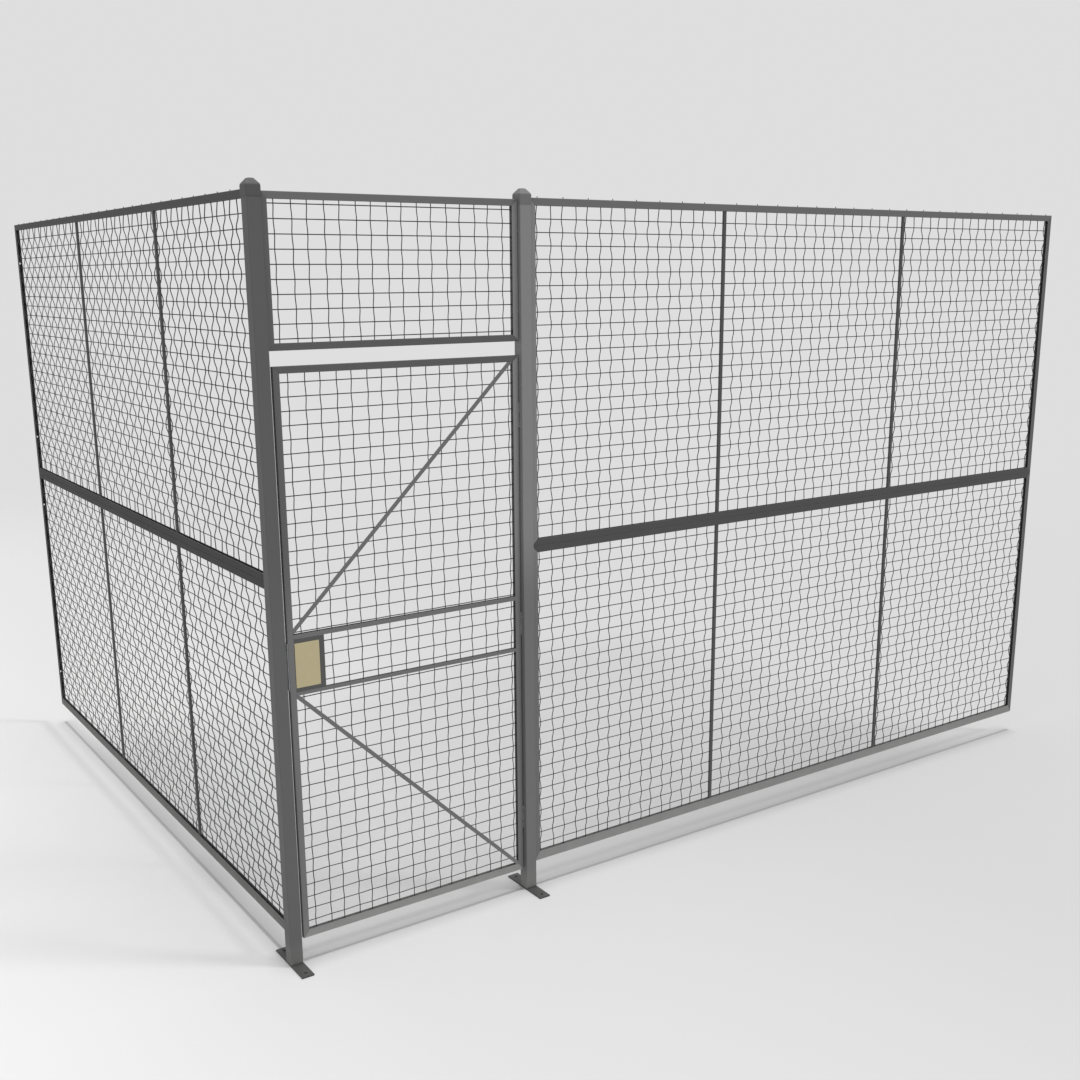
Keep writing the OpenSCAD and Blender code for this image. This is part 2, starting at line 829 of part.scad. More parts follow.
// Flat brace across the opening between two heights, in the plane of the outside flanges
module brace(low, high, rising, lift) {
    run = inner_right - inner_left;
    climb = high - low;
    angle = (rising ? 1 : -1) * atan2(climb, run);
    middle = [(inner_left + inner_right) / 2, -strap_y, (low + high) / 2];
    intersection() {
        translate(middle) rotate([0, -angle, 0]) translate([0, 0, lift])
            cube([2 * (run + climb), strap_t, brace_w], center = true);
        translate(middle) cube([run - 2 * weld_gap, 2 * strap_t, climb - 2 * weld_gap], center = true);
    }
}

module upper_brace() {
    color("dimgray") brace(upper_brace_z[0], upper_brace_z[1], true, brace_lift);
}

module lower_brace() {
    color("dimgray") brace(lower_brace_z[0], lower_brace_z[1], false, 0);
}

// ---- Lock ----

// Sheet metal box between the lock bars, open towards the stile
module lock_box() {
    x0 = inner_left + weld_gap;
    h = lock_space - 2 * weld_gap;
    color("gray") difference() {
        translate([x0, -frame_depth / 2, lock_low + weld_gap]) cube([lock_box_w, frame_depth, h]);
        translate([x0 - past, -slot_w / 2, lock_low + weld_gap + channel_wall])
            cube([lock_box_w - channel_wall + past, slot_w, h - 2 * channel_wall]);
        translate([hub_x, 0, hub_z]) along_y(frame_depth, spindle_w);
    }
}

module lock_plate() {
    translate([inner_left + plate_inset + plate_w / 2, 0, lock_z - plate_h / 2])
        block(plate_w, plate_t, plate_h);
}

module outside_lock_plate() {
    color("tan") translate([0, -(frame_depth + plate_t) / 2, 0]) lock_plate();
}

module inside_lock_plate() {
    color("tan") difference() {
        translate([0, (frame_depth + plate_t) / 2, 0]) lock_plate();
        translate([hub_x, frame_depth / 2 - past, hub_z]) along_y(plate_t + 2 * past, spindle_w);
    }
}

module lock_forend() {
    color("silver") difference() {
        translate([door_x - forend_t, -frame_depth / 2, lock_z - forend_h / 2])
            cube([forend_t, frame_depth, forend_h]);
        translate([door_x - forend_t - past, -bolt_t / 2 - slide_gap, lock_z - bolt_h / 2 - slide_gap])
            cube([forend_t + 2 * past, bolt_t + 2 * slide_gap, bolt_h + 2 * slide_gap]);
        for (z = forend_screw_heights) translate([door_x - forend_t, 0, z])
            countersunk(forend_t + past, wire_gap);
    }
}

module forend_screws() {
    color("silver") for (z = forend_screw_heights)
        translate([door_x - forend_t, 0, z]) countersunk(forend_screw_len);
}

// The case is a tray that opens towards the inside of the room
module lock_case() {
    color("silver") difference() {
        translate([case_x, -case_y, lock_z - case_h / 2]) cube([case_w, 2 * case_y - case_wall, case_h]);
        translate([case_x + case_end, -case_y + case_wall, lock_z - case_h / 2 + case_end])
            cube([case_w - 2 * case_end, 2 * case_y, case_h - 2 * case_end]);
        translate([case_x - past, -bolt_t / 2 - slide_gap, lock_z - bolt_h / 2 - slide_gap])
            cube([case_end + 2 * past, bolt_t + 2 * slide_gap, bolt_h + 2 * slide_gap]);
        translate([hub_x, -case_y - past, hub_z]) along_y(case_wall + 2 * past, stub_r + run_gap);
    }
}

module lock_case_cover() {
    color("silver") difference() {
        translate([case_x, case_y - case_wall, lock_z - case_h / 2]) cube([case_w, case_wall, case_h]);
        translate([hub_x, case_y - case_wall - past, hub_z]) along_y(case_wall + 2 * past, boss_r + run_gap);
    }
}

// Coils of the torsion spring, packed round the hub's boss
module return_spring() {
    start = arm_y + arm_t + wire_gap;
    color("silver") translate([hub_x, start, hub_z]) difference() {
        along_y(case_y - case_wall - wire_gap - start, boss_r + coil_t);
        translate([0, -past, 0]) along_y(2 * case_y, boss_r + hole_gap);
    }
}

// The head goes through the door's edge, and the slot in the tail takes the hub's crank pin
module latch_bolt() {
    pin_x = hub_x - bolt_travel / 2;
    head_end = bolt_tip + head_len;
    color("silver") difference() {
        union() {
            translate([0, 0, lock_z - bolt_h / 2]) linear_extrude(height = bolt_h)
                polygon([[bolt_tip, bolt_t / 2], [bolt_tip, bolt_t / 2 - 2],
                    [bolt_tip + bolt_t - 2, -bolt_t / 2], [head_end, -bolt_t / 2], [head_end, bolt_t / 2]]);
            translate([head_end - past, tail_y, lock_z - bolt_h / 2])
                cube([pin_x + tail_past_pin - head_end + past, tail_t, bolt_h]);
        }
        translate([pin_x - crank_slot[0], tail_y - past, lock_z - crank_slot[1]])
            cube([2 * crank_slot[0], tail_t + 2 * past, crank_slot[1] + crank_slot[2]]);
    }
}

// The hub turns in the case and its cover. Its crank pin draws the bolt.
module lock_hub() {
    color("silver") translate([hub_x, 0, hub_z]) {
        translate([0, -case_y, 0]) along_y(case_y + arm_y, stub_r);
        translate([0, arm_y, 0]) along_y(arm_t, hub_r);
        translate([0, arm_y, 0]) along_y(case_y - arm_y, boss_r);
        translate([-spindle_w / 2, case_y - past, -spindle_w / 2]) cube([spindle_w, spindle_len, spindle_w]);
        rotate([0, -turn_angle / 2, 0]) {
            translate([-4, arm_y, 0]) cube([8, arm_t, crank]);
            translate([0, arm_y, crank]) along_y(arm_t, 4);
            translate([0, tail_y, crank]) along_y(arm_y + past - tail_y, crank_pin_r);
        }
    }
}

module inside_turn() {
    start = frame_depth / 2 + plate_t + slide_gap;
    color("silver") translate([hub_x, start, hub_z]) difference() {
        union() {
            along_y(rose_t, rose_r);
            translate([-grip[0] / 2, rose_t - past, -grip[2] / 2]) cube(grip);
        }
        translate([-spindle_w / 2 - wire_gap, -past, -spindle_w / 2 - wire_gap])
            cube([spindle_w + 2 * wire_gap, socket, spindle_w + 2 * wire_gap]);
    }
}

corner_post();
hinge_post();
corner_post_cap();
hinge_post_cap();
corner_foot_plate();
hinge_foot_plate();
left_lower_frame();
left_lower_mesh();
left_lower_bars();
left_upper_frame();
left_upper_mesh();
left_upper_bars();
right_lower_frame();
right_lower_mesh();
right_lower_bars();
right_upper_frame();
right_upper_mesh();
right_upper_bars();
transom_frame();
transom_mesh();
panel_bolts();
panel_spacers();
seam_bolts();
seam_nuts();
post_hinge_leaves();
post_hinge_screws();
hinge_pins();
strike_plate();
strike_screws();
door_frame();
door_mesh();
door_hinge_leaves();
door_hinge_screws();
upper_lock_bar();
lower_lock_bar();
upper_brace();
lower_brace();
lock_box();
outside_lock_plate();
inside_lock_plate();
lock_forend();
forend_screws();
lock_case();
lock_case_cover();
return_spring();
latch_bolt();
lock_hub();
inside_turn();
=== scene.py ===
import math

import bmesh
import bpy
import numpy as np
from mathutils import Matrix, Vector


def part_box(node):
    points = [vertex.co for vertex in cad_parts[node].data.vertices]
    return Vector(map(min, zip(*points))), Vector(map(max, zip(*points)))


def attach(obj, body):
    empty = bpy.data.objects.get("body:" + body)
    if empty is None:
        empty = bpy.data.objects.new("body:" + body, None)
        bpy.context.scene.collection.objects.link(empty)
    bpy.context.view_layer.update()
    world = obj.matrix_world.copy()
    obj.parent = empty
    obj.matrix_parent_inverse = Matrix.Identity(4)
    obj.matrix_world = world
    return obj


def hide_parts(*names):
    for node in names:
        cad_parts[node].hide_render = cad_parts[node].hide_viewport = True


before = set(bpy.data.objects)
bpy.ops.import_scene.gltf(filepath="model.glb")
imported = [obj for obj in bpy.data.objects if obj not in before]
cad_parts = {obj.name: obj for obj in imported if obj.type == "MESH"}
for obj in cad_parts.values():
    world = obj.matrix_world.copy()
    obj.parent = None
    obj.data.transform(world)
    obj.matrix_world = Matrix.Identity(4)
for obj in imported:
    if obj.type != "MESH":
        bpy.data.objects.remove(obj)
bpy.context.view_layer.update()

# Corner partition of woven wire mesh with a door. Metres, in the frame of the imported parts:
# the corner post stands on the origin, the door and the right wall run along +X and the left wall along +Y.

scene = bpy.context.scene

# ---- Sizes that repeat those of the parts ----

WALL_FACE, SILL_FACE = 0.0254, 0.036     # widths in front view of a wall's channels and of its bottom rail
DOOR_FACE, KICK_FACE = 0.0222, 0.028     # the same for the transom and the door
BAR_W = 0.0127
LEFT_BARS = (0.872, 1.874)               # the stiffening bars' middles, from a wall's end at the post
RIGHT_BARS = (0.898, 1.914)
COLUMN_PITCH, ROW_PITCH = 0.0541, 0.0445
WALL_FIRST, TRANSOM_FIRST, DOOR_FIRST = 0.0106, 0.024, 0.0315    # from a stile to the first upright wire
PAIRING = 0.0021                         # the uprights stand in loose pairs, each this far off its even place
WIRE_R = 0.0017
WIRE_CLEAR = 0.0001                      # between a wire and a bar that it stands beside
WIRE_END = 0.002                         # from a frame's outer face to a wire's end, inside the channel
CLINCH = 0.005                           # a clinched end above the top rail
CLINCH_SIDE = 0.0035                     # the holes in the top rail lie this far from its middle
CLINCH_BELOW = 0.004                     # under the rail's outer face, where a wire has come over to its hole
# How far the upright and the level wires swing at a crossing, to one side and back. They touch there.
WALL_SWING = (0.0040, 0.0006)
DOOR_SWING = (0.0025, -0.0009)
BEND, BEND_SHARE = 0.011, 0.84           # this far from a crossing a wire still has this share of its swing
BEND_CLEAR = 0.001                       # no bend comes nearer than this to a wire's end
WIRE_SIDES = 6
ROUNDING = 1e-6                          # a last upright that just fits isn't lost to rounding


def grey(value):
    return (value, value, value, 1.0)


def put_in_scene(name, data):
    """A new object in the scene, with a mesh, lamp or camera as its data."""
    made = bpy.data.objects.new(name, data)
    scene.collection.objects.link(made)
    return made


def stand_for(piece, node, body):
    """The piece takes a part's place, on its body."""
    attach(piece, body)
    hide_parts(node)


# ---- Node trees ----

def put(tree, kind, inputs=None, **settings):
    """A new node with its settings, and its inputs set or linked."""
    made = tree.nodes.new(kind)
    for name, value in settings.items():
        setattr(made, name, value)
    for key, value in (inputs or {}).items():
        if isinstance(value, bpy.types.NodeSocket):
            tree.links.new(value, made.inputs[key])
        else:
            made.inputs[key].default_value = value
    return made


def math_node(tree, operation, a, b, clamp=False):
    return put(tree, "ShaderNodeMath", {0: a, 1: b}, operation=operation, use_clamp=clamp).outputs[0]


def mix_colour(tree, factor, a, b, blend="MIX"):
    """From colour a to colour b, by a factor from 0 to 1."""
    made = put(tree, "ShaderNodeMix", {0: factor, 6: a, 7: b}, data_type="RGBA", blend_type=blend)
    return made.outputs[2]


def shaded(tree, colour, amount):
    """A colour times a plain number."""
    tone = put(tree, "ShaderNodeCombineColor", {0: amount, 1: amount, 2: amount}).outputs[0]
    return mix_colour(tree, 1.0, colour, tone, "MULTIPLY")


def ramp(tree, value, low, high, out_low=0.0, out_high=1.0):
    """Leads smoothly from out_low to out_high while a value goes from low to high."""
    return put(tree, "ShaderNodeMapRange", {"Value": value, "From Min": low, "From Max": high,
        "To Min": out_low, "To Max": out_high}, interpolation_type="SMOOTHSTEP").outputs["Result"]


def noise(tree, vector, scale, detail, roughness=0.5):
    """Soft patches. The scale says how many there are to a metre."""
    return put(tree, "ShaderNodeTexNoise", {"Vector": vector, "Scale": scale, "Detail": detail,
        "Roughness": roughness}).outputs["Fac"]


def streaks(tree, vector, scales, detail):
    """The same with its own number of patches to a metre along X, Y and Z."""
    stretched = put(tree, "ShaderNodeMapping", {"Vector": vector, "Scale": scales}).outputs["Vector"]
    return noise(tree, stretched, 1.0, detail)


def place(tree):
    """A point's place on its piece, in metres."""
    return put(tree, "ShaderNodeTexCoord").outputs["Object"]


def xyz(tree, vector):
    """A vector's three numbers."""
    return put(tree, "ShaderNodeSeparateXYZ", {0: vector}).outputs[:]


def group(name, inputs, outputs):
    """An empty node group with named sockets: its tree, and the inputs and outputs seen from inside."""
    tree = bpy.data.node_groups.new(name, "ShaderNodeTree")
    for label, value in inputs.items():
        kind = "NodeSocketColor" if isinstance(value, tuple) else "NodeSocketFloat"
        tree.interface.new_socket(label, in_out="INPUT", socket_type=kind).default_value = value
    for label in outputs:
        kind = "NodeSocketColor" if label == "Color" else "NodeSocketFloat"
        tree.interface.new_socket(label, in_out="OUTPUT", socket_type=kind)
    return tree, put(tree, "NodeGroupInput").outputs, put(tree, "NodeGroupOutput").inputs


def use(tree, made_group, inputs):
    """The outputs of a group that is placed in a tree."""
    return put(tree, "ShaderNodeGroup", inputs, node_tree=made_group).outputs


def powder_coat_group():
    """Baked powder paint: faint clouds in the colour, and the fine orange peel of its skin. Its input for
    shade below
    is painted light and shade: it makes the paint lighter or darker on what stands lower than the walls'
    seam."""
    wide_clouds, near_clouds, wide_share, cloud_roughness = 3.1, 38.0, 0.6, 0.25
    shade_full, shade_gone = 1.1, 1.45                      # heights between which the painted shade on the lower part fades out
    tree, given, out = group("powder_coat", {"Color": grey(0.2), "Clouds": 0.08, "Peel": 420.0,
        "Roughness": 0.45, "Painted shade below": 1.0}, ("Color", "Roughness", "Height"))
    at = place(tree)
    wide = math_node(tree, "MULTIPLY", noise(tree, at, wide_clouds, detail=3.0), wide_share)
    near = math_node(tree, "MULTIPLY", noise(tree, at, near_clouds, detail=3.0), 1 - wide_share)
    centred = math_node(tree, "SUBTRACT", math_node(tree, "ADD", wide, near), 0.5)
    shade = math_node(tree, "ADD", math_node(tree, "MULTIPLY", centred, given["Clouds"]), 1.0)
    # painted light and shade: lighter or darker below the walls' seam
    painted_low_shade = ramp(tree, xyz(tree, at)[2], shade_full, shade_gone, given["Painted shade below"], 1.0)
    shade = math_node(tree, "MULTIPLY", shade, painted_low_shade)
    tree.links.new(shaded(tree, given["Color"], shade), out["Color"])
    spread = math_node(tree, "MULTIPLY", centred, cloud_roughness)
    tree.links.new(math_node(tree, "ADD", given["Roughness"], spread, clamp=True), out["Roughness"])
    tree.links.new(noise(tree, at, given["Peel"], detail=2.0, roughness=0.4), out["Height"])
    return tree


def floor_dust_group():
    """Dust that settles on upward faces and is thrown up near the floor."""
    thick_to, gone_at = 0.1, 1.0                            # shares of the reach
    slope_from, slope_to, most_on_level = 0.55, 0.95, 0.7   # of the normal's upward part
    patches, patch_low, patch_high, thinnest = 14.0, 0.3, 0.7, 0.45
    tree, given, out = group("floor_dust", {"Color": grey(0.2), "Dust": (0.5, 0.49, 0.47, 1.0), "Amount": 0.3,
        "Reach": 0.2}, ("Color", "Mask"))
    at = place(tree)
    height = math_node(tree, "DIVIDE", xyz(tree, at)[2], given["Reach"])
    up = xyz(tree, put(tree, "ShaderNodeNewGeometry").outputs["Normal"])[2]
    low = math_node(tree, "SUBTRACT", 1.0, ramp(tree, height, thick_to, gone_at))
    level = ramp(tree, up, slope_from, slope_to, 0.0, most_on_level)
    cloud = noise(tree, at, patches, detail=4.0, roughness=0.6)
    uneven = ramp(tree, cloud, patch_low, patch_high, thinnest, 1.0)
    mask = math_node(tree, "MULTIPLY", math_node(tree, "MAXIMUM", low, level), uneven)
    mask = math_node(tree, "MULTIPLY", mask, given["Amount"], clamp=True)
    tree.links.new(mix_colour(tree, mask, given["Color"], given["Dust"]), out["Color"])
    tree.links.new(mask, out["Mask"])
    return tree


def edge_wear_group():
    """Paint that is thin or rubbed on the corners, and a few hair scratches on the flats."""
    rubs, rub_low, rub_high = 55.0, 0.42, 0.62
    level_hairs, level_low, level_high = (60.0, 60.0, 900.0), 0.74, 0.8
    upright_hairs, upright_low, upright_high = (900.0, 700.0, 70.0), 0.76, 0.82
    scratched_places, place_low, place_high = 4.0, 0.5, 0.7
    tree, given, out = group("edge_wear", {"Color": grey(0.2), "Worn": grey(0.4), "Edges": 0.4,
        "Scratches": 0.3}, ("Color", "Mask"))
    at = place(tree)
    edge = put(tree, "ShaderNodeAttribute", attribute_name="edge").outputs["Fac"]
    broken = ramp(tree, noise(tree, at, rubs, detail=3.0, roughness=0.6), rub_low, rub_high)
    rubbed = math_node(tree, "MULTIPLY", math_node(tree, "MULTIPLY", edge, broken), given["Edges"])
    level = ramp(tree, streaks(tree, at, level_hairs, detail=1.0), level_low, level_high)
    upright = ramp(tree, streaks(tree, at, upright_hairs, detail=1.0), upright_low, upright_high)
    where = ramp(tree, noise(tree, at, scratched_places, detail=2.0), place_low, place_high)
    hair = math_node(tree, "MULTIPLY", math_node(tree, "MAXIMUM", level, upright), where)
    hair = math_node(tree, "MULTIPLY", hair, given["Scratches"])
    mask = math_node(tree, "MAXIMUM", rubbed, hair)
    tree.links.new(mix_colour(tree, mask, given["Color"], given["Worn"]), out["Color"])
    tree.links.new(mask, out["Mask"])
    return tree


def plated_group():
    """Zinc plating: cloudy crystals and a fine drawn grain."""
    crystals, crystal_low, crystal_high = 90.0, 0.3, 0.7
    darkest, lightest, cloud_roughness = 0.82, 1.1, 0.4
    drawn = (300.0, 300.0, 5000.0)
    tree, given, out = group("plated", {"Color": grey(0.6), "Grain": 0.5, "Roughness": 0.35},
        ("Color", "Roughness", "Height"))
    at = place(tree)
    cloud = noise(tree, at, crystals, detail=3.0)
    shade = ramp(tree, cloud, crystal_low, crystal_high, darkest, lightest)
    tree.links.new(shaded(tree, given["Color"], shade), out["Color"])
    spread = math_node(tree, "MULTIPLY", math_node(tree, "SUBTRACT", cloud, 0.5), cloud_roughness)
    tree.links.new(math_node(tree, "ADD", given["Roughness"], spread, clamp=True), out["Roughness"])
    grain = streaks(tree, at, drawn, detail=2.0)
    tree.links.new(math_node(tree, "MULTIPLY", grain, given["Grain"]), out["Height"])
    return tree


POWDER_COAT, FLOOR_DUST = powder_coat_group(), floor_dust_group()
EDGE_WEAR, PLATED = edge_wear_group(), plated_group()


# ---- Paints and metals ----

PAINT_SHINE = 0.25
PEEL_STRENGTH, PEEL_DEPTH = 0.06, 0.0006
GRAIN_STRENGTH, GRAIN_DEPTH = 0.1, 0.0003
DUST_DULLS, WEAR_SINKS = 0.4, 0.8        # dust makes the paint this much rougher, and wear this much lower
WORN_GAIN, WORN_LIFT = 1.7, 0.03         # thin paint is paler than the rest


def new_material(name):
    """A material, its node tree and its shader."""
    material = bpy.data.materials.new(name)
    material.use_nodes = True
    return material, material.node_tree, material.node_tree.nodes["Principled BSDF"]


def emboss(tree, shader, height, strength, depth):
    """Lets a height show on the surface."""
    skin = put(tree, "ShaderNodeBump", {"Height": height, "Strength": strength, "Distance": depth})
    tree.links.new(skin.outputs["Normal"], shader.inputs["Normal"])


def painted(name, colour, clouds=0.1, peel=420.0, roughness=0.6, dust=0.25, reach=0.2, edges=0.35,
            scratches=0.25, worn=None, below=1.0):
    """A powder-coated steel. below is painted light and shade: it makes the lower part lighter or darker."""
    material, tree, shader = new_material(name)
    worn = worn or tuple(min(1, c * WORN_GAIN + WORN_LIFT) for c in colour[:3]) + (1.0,)
    coat = use(tree, POWDER_COAT, {"Color": colour, "Clouds": clouds, "Peel": peel, "Roughness": roughness,
        "Painted shade below": below})
    wear = use(tree, EDGE_WEAR, {"Color": coat["Color"], "Worn": worn, "Edges": edges,
        "Scratches": scratches})
    dusty = use(tree, FLOOR_DUST, {"Color": wear["Color"], "Amount": dust, "Reach": reach})
    tree.links.new(dusty["Color"], shader.inputs["Base Color"])
    dulled = math_node(tree, "MULTIPLY", dusty["Mask"], DUST_DULLS)
    rough = math_node(tree, "ADD", coat["Roughness"], dulled, clamp=True)
    tree.links.new(rough, shader.inputs["Roughness"])
    sunk = math_node(tree, "MULTIPLY", wear["Mask"], WEAR_SINKS)
    emboss(tree, shader, math_node(tree, "SUBTRACT", coat["Height"], sunk), PEEL_STRENGTH, PEEL_DEPTH)
    shader.inputs["Specular IOR Level"].default_value = PAINT_SHINE
    return material


def metal(name, colour, roughness=0.35, grain=0.5):
    """A zinc-plated or brushed steel."""
    material, tree, shader = new_material(name)
    plate = use(tree, PLATED, {"Color": colour, "Grain": grain, "Roughness": roughness})
    tree.links.new(plate["Color"], shader.inputs["Base Color"])
    tree.links.new(plate["Roughness"], shader.inputs["Roughness"])
    emboss(tree, shader, plate["Height"], GRAIN_STRENGTH, GRAIN_DEPTH)
    shader.inputs["Metallic"].default_value = 1.0
    return material


# The posts and their caps are one grey powder coat. Their different greys are painted light and shade: the
# hinge post and its cap lighter, the corner post and its cap darker, and below makes the posts lighter or
# darker lower down.
CORNER_PAINT = painted("corner_post_paint", grey(0.118), reach=0.12, dust=0.2, below=1.08)
HINGE_SIDE_LIT_PAINT = painted("hinge_post_painted_light", grey(0.25), reach=0.12, dust=0.2, below=0.7)
FOOT_PAINT = painted("foot_plate_paint", grey(0.048), dust=0.06)
CORNER_CAP_PAINT = painted("corner_cap_paint", grey(0.098), clouds=0.14)
HINGE_CAP_PAINT = painted("hinge_cap_paint", grey(0.175), clouds=0.14)
# The frame channels are one grey powder coat too. Their different greys are painted light and shade, by place
# and facing: the bottom and top rails lighter, the seam and head rails darker, the left wall's channels
# darker all over, the lock stile lighter lower down, and the stiles beside the hinge post take the hinge
# post's lighter grey.
STILE_PAINT = painted("stile_paint", grey(0.13))
LOCK_STILE_LIT_BELOW_PAINT = painted("lock_stile_painted_light", grey(0.13), below=1.42)
TOP_PAINT = painted("top_rail_paint", grey(0.162))
HEAD_PAINT = painted("head_rail_paint", grey(0.112))
SHADED_SEAM_PAINT = painted("seam_rail_painted_shade", grey(0.08), edges=0.2)
LIT_SILL_PAINT = painted("bottom_rail_painted_light", grey(0.25), dust=0.4)
LEFT_SHADED_PAINT = painted("left_frame_painted_shade", grey(0.088), roughness=0.8)
LEFT_SHADED_SEAM_PAINT = painted("left_seam_rail_painted_shade", grey(0.06), roughness=0.8, edges=0.2)
LEFT_LIT_SILL_PAINT = painted("left_bottom_rail_painted_light", grey(0.14), roughness=0.8, dust=0.4)
FRAME_LIT_AND_SHADED_PAINTS = [STILE_PAINT, LOCK_STILE_LIT_BELOW_PAINT, HINGE_SIDE_LIT_PAINT, TOP_PAINT, HEAD_PAINT, SHADED_SEAM_PAINT, LIT_SILL_PAINT,
    LEFT_SHADED_PAINT, LEFT_SHADED_SEAM_PAINT, LEFT_LIT_SILL_PAINT]
BAR_PAINT = painted("bar_paint", grey(0.09))
LOCK_BAR_PAINT = painted("lock_bar_paint", grey(0.175))
BRACE_PAINT = painted("brace_paint", grey(0.17))
BOX_PAINT = painted("lock_box_paint", grey(0.1))
WIRE_PAINT = painted("wire_paint", grey(0.055), clouds=0.3, peel=900.0, edges=0.0, scratches=0.0, dust=0.12)
TAN_PAINT = painted("tan_plate_paint", (0.535, 0.468, 0.285, 1.0), clouds=0.22, peel=500.0, roughness=0.5,
    scratches=0.35, worn=(0.33, 0.3, 0.22, 1.0))
ZINC = metal("zinc_plate", (0.55, 0.56, 0.58, 1.0))
DULL_ZINC = metal("dull_zinc", (0.3, 0.31, 0.32, 1.0), roughness=0.5)
KNOB_METAL = metal("brushed_knob", (0.52, 0.5, 0.46, 1.0), roughness=0.28, grain=1.0)


# ---- Pieces made from a part's own shape, with its sheet metal edges eased ----

SAME_POINT, SAME_PLANE = 2e-6, math.radians(0.6)
SHARP, CAP_SHARP = math.radians(28), math.radians(20)
NORMAL_WEIGHT = 90
PAINTED_EASE, CHANNEL_EASE, FOOT_EASE, PLATE_EASE = 0.0005, 0.0006, 0.0008, 0.0003
THIN_EASE, BOLT_EASE, KNOB_EASE = 0.0002, 0.0003, 0.0012


def shape_of(node):
    """A copy of a part's solids in flat faces."""
    shape = bmesh.new()
    shape.from_mesh(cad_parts[node].data)
    bmesh.ops.remove_doubles(shape, verts=shape.verts, dist=SAME_POINT)
    bmesh.ops.dissolve_limit(shape, angle_limit=SAME_PLANE, verts=shape.verts, edges=shape.edges)
    return shape


def sharp_edges(shape, angle):
    """The edges at which a shape's faces turn by more than an angle."""
    return [e for e in shape.edges if len(e.link_faces) == 2 and e.calc_face_angle(0) > angle]


def ease(shape, width):
    """Rounds the sharp edges, and marks the narrow faces this makes for the wear on the paint."""
    mark = shape.faces.layers.float.new("edge")
    made = bmesh.ops.bevel(shape, geom=sharp_edges(shape, SHARP), offset=width, segments=2, profile=0.6,
        affect="EDGES", clamp_overlap=False, loop_slide=True)
    for face in made["faces"]:
        face[mark] = 1.0


def finish_piece(shape, node, body, materials):
    """Puts a shape into the scene as the piece that stands for a part."""
    mesh = bpy.data.meshes.new(node + "_piece")
    shape.to_mesh(mesh)
    shape.free()
    for material in materials:
        mesh.materials.append(material)
    mesh.shade_smooth()
    piece = put_in_scene(node + "_piece", mesh)
    piece.modifiers.new("even_normals", "WEIGHTED_NORMAL").weight = NORMAL_WEIGHT
    stand_for(piece, node, body)


def islands(shape):
    """The separate solids of a shape, each a list of faces."""
    left = set(shape.faces)
    for first in shape.faces:
        if first not in left:
            continue
        left.remove(first)
        found, reached = [], [first]
        while reached:
            face = reached.pop()
            found.append(face)
            for edge in face.edges:
                for other in edge.link_faces:
                    if other in left:
                        left.remove(other)
                        reached.append(other)
        yield found


def box_of(faces):
    """The lowest and the highest corner of the box round some faces."""
    places = [v.co for face in faces for v in face.verts]
    return [[end(p[k] for p in places) for k in range(3)] for end in (min, max)]


def eased(node, body, materials, width=PAINTED_EASE, choose=None):
    """A part with eased edges. choose gives each of its solids a material, by the solid's box."""
    shape = shape_of(node)
    if choose:
        for faces in islands(shape):
            index = materials.index(choose(*box_of(faces)))
            for face in faces:
                face.material_index = index
    ease(shape, width)
    finish_piece(shape, node, body, materials)


def post_cap(node, material):
    """A drawn steel cap, its corners and shoulders rounder than those of cut channel."""
    rounding, shoulder_depth, skin = 0.003, 0.019, 0.0005
    shape = shape_of(node)
    shoulder = max(v.co.z for v in shape.verts) - shoulder_depth
    middle = sum((v.co for v in shape.verts), Vector()) / len(shape.verts)
    reach = max(v.co.x for v in shape.verts) - skin - middle.x

    def outside(place):
        return place.z > shoulder or max(abs(place.x - middle.x), abs(place.y - middle.y)) > reach

    outer = [e for e in sharp_edges(shape, CAP_SHARP)
        if all(outside(v.co) for v in e.verts) and max(v.co.z for v in e.verts) > shoulder]
    bmesh.ops.bevel(shape, geom=outer, offset=rounding, segments=4, profile=0.5, affect="EDGES",
        clamp_overlap=True)
    finish_piece(shape, node, "partition", [material])


# ---- The foot plates and their welds ----

WELD_LEG, WELD_STOP = 0.0042, 0.0025     # the bead's width, and how far it stays from the post's corners
WELD_SUNK = 0.0001                       # into the plate and the post
RIPPLE, RIPPLE_RINGS, RIPPLE_DEPTH = 0.0024, 4, 0.08    # length, rings of points, and share of the width
TAPER_RATE, TIP_SHARE = 12, 0.05         # the bead thins towards its ends
BEAD_STEPS = 4                           # in its rounded face


def join_rings(shape, one, two):
    """The faces between two rings of points."""
    return [shape.faces.new((one[i - 1], one[i], two[i], two[i - 1])) for i in range(len(one))]


def weld_bead(shape, start, end, out):
    """A fillet weld along X between a plate and a wall above it, on the side that out gives."""
    count = round((end.x - start.x) / RIPPLE) * RIPPLE_RINGS
    rings = []
    for k in range(count + 1):
        along = k / count
        taper = math.sqrt(min(1.0, min(along, 1 - along) * TAPER_RATE + TIP_SHARE))
        size = WELD_LEG * taper * (1 + RIPPLE_DEPTH * math.sin(2 * math.pi * k / RIPPLE_RINGS))
        turns = [t * math.pi / (2 * BEAD_STEPS) for t in range(BEAD_STEPS + 1)]
        arc = [(size * math.cos(t), size * math.sin(t)) for t in turns]
        at = start.lerp(end, along)
        points = [(-WELD_SUNK, -WELD_SUNK), (size, -WELD_SUNK)] + arc[1:-1] + [(-WELD_SUNK, arc[-1][1])]
        rings.append([shape.verts.new((at.x, at.y + out * a, at.z + b)) for a, b in points])
    made = [shape.faces.new(rings[0]), shape.faces.new(rings[-1])]
    for one, two in zip(rings, rings[1:]):
        made += join_rings(shape, one, two)
    bmesh.ops.recalc_face_normals(shape, faces=made)


